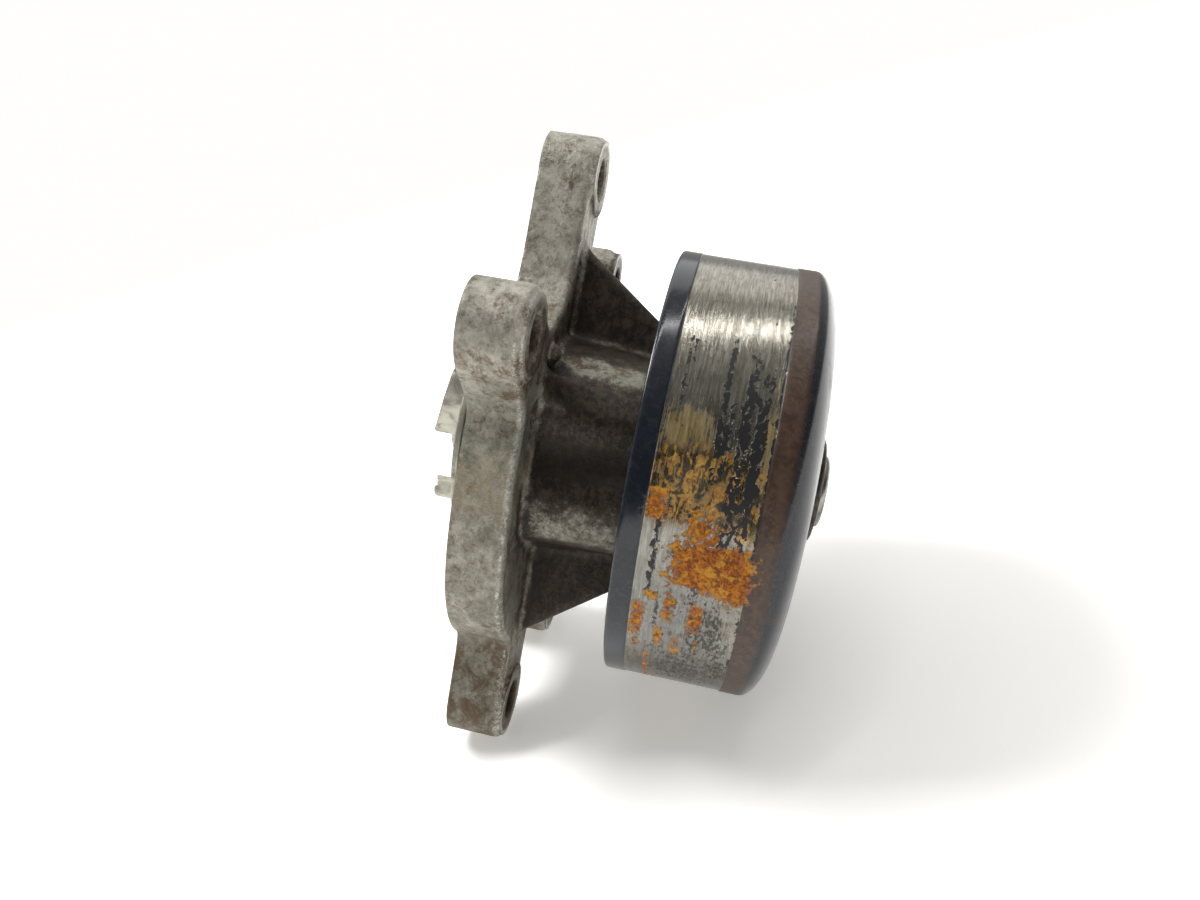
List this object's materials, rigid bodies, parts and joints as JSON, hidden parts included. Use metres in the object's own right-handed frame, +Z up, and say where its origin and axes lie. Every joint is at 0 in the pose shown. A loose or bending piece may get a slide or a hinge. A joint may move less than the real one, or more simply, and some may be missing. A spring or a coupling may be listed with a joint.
{
  "type": "automotive water pump",
  "caption": "Belt-driven engine coolant pump: ribbed cast housing with bolt ears, sealed shaft bearing, stamped impeller and smooth drawn pulley.",
  "frame": {"origin": "centre of the mounting face, on the shaft axis", "axes": "+X along the shaft to the pulley, +Z up, the flange in the YZ plane"},
  "size_m": [0.085, 0.111, 0.1311],
  "materials": {
    "cast_housing": "rough as-cast surface, stained and pitted",
    "pulley_coating": "black coating worn to scratched, rusting steel on the belt track",
    "hub_steel": "dark oiled steel",
    "bearing_steel": "ground",
    "ball_steel": "polished",
    "cage_plastic": "moulded, glass filled",
    "seal_rubber": "matte",
    "seal_case": "drawn",
    "spring_steel": "drawn wire",
    "carbon": "lapped carbon graphite",
    "ceramic_face": "lapped ceramic",
    "impeller_zinc": "zinc-plated sheet, water-stained"
  },
  "bodies": {
    "housing": {"pump_body": "cast_housing", "bearing_outer_race": "bearing_steel", "bearing_seal_rear": "seal_rubber", "bearing_seal_front": "seal_rubber", "seal_case": "seal_case", "seal_bellows": "seal_rubber", "seal_spring": "spring_steel", "carbon_ring": "carbon"},
    "rotor": {"shaft": "bearing_steel", "pulley_hub": "hub_steel", "pulley": "pulley_coating", "impeller": "impeller_zinc", "seal_seat": "ceramic_face", "seat_cup": "seal_rubber", "slinger": "seal_rubber"},
    "rear_ball_row": {"ball_cage_rear": "cage_plastic", "ball_rear_1": "ball_steel", "ball_rear_2": "ball_steel", "ball_rear_3": "ball_steel", "ball_rear_4": "ball_steel", "ball_rear_5": "ball_steel", "ball_rear_6": "ball_steel", "ball_rear_7": "ball_steel"},
    "front_ball_row": {"ball_cage_front": "cage_plastic", "ball_front_1": "ball_steel", "ball_front_2": "ball_steel", "ball_front_3": "ball_steel", "ball_front_4": "ball_steel", "ball_front_5": "ball_steel", "ball_front_6": "ball_steel", "ball_front_7": "ball_steel"}
  },
  "joints": [
    {"name": "shaft_spin", "type": "hinge", "parent": "housing", "child": "rotor", "pos_m": [0, 0, 0], "axis": [1, 0, 0], "continuous": true},
    {"name": "rear_row_spin", "type": "hinge", "parent": "housing", "child": "rear_ball_row", "pos_m": [0.0295, 0, 0], "axis": [1, 0, 0], "continuous": true},
    {"name": "front_row_spin", "type": "hinge", "parent": "housing", "child": "front_ball_row", "pos_m": [0.0515, 0, 0], "axis": [1, 0, 0], "continuous": true}
  ],
  "couplings": [
    {"joint": "rear_row_spin", "follows": "shaft_spin", "ratio": 0.3802},
    {"joint": "front_row_spin", "follows": "shaft_spin", "ratio": 0.3802}
  ]
}
